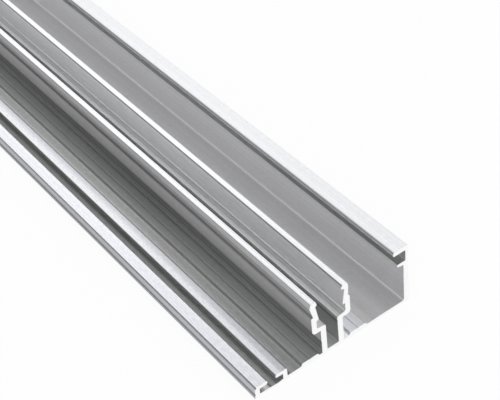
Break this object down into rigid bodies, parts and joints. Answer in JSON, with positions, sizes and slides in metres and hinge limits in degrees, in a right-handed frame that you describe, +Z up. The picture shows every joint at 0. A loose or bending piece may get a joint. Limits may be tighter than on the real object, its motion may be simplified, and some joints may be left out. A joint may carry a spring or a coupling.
{
  "type": "polycarbonate sheet edge profile",
  "caption": "Extruded aluminium base profile for the edge of a multiwall roof sheet, with a gasket channel, a barbed click channel and a closing wall.",
  "frame": {"origin": "middle of the flat underside, halfway along the bar", "axes": "+Y along the bar, +X towards the closing wall, -X towards the gasket channel, +Z up from the underside"},
  "size_m": [0.06, 2, 0.0242],
  "materials": {
    "mill_aluminium": "satin mill finish with fine die lines along the bar"
  },
  "bodies": {
    "root": {"edge_profile": "mill_aluminium"}
  },
  "joints": []
}
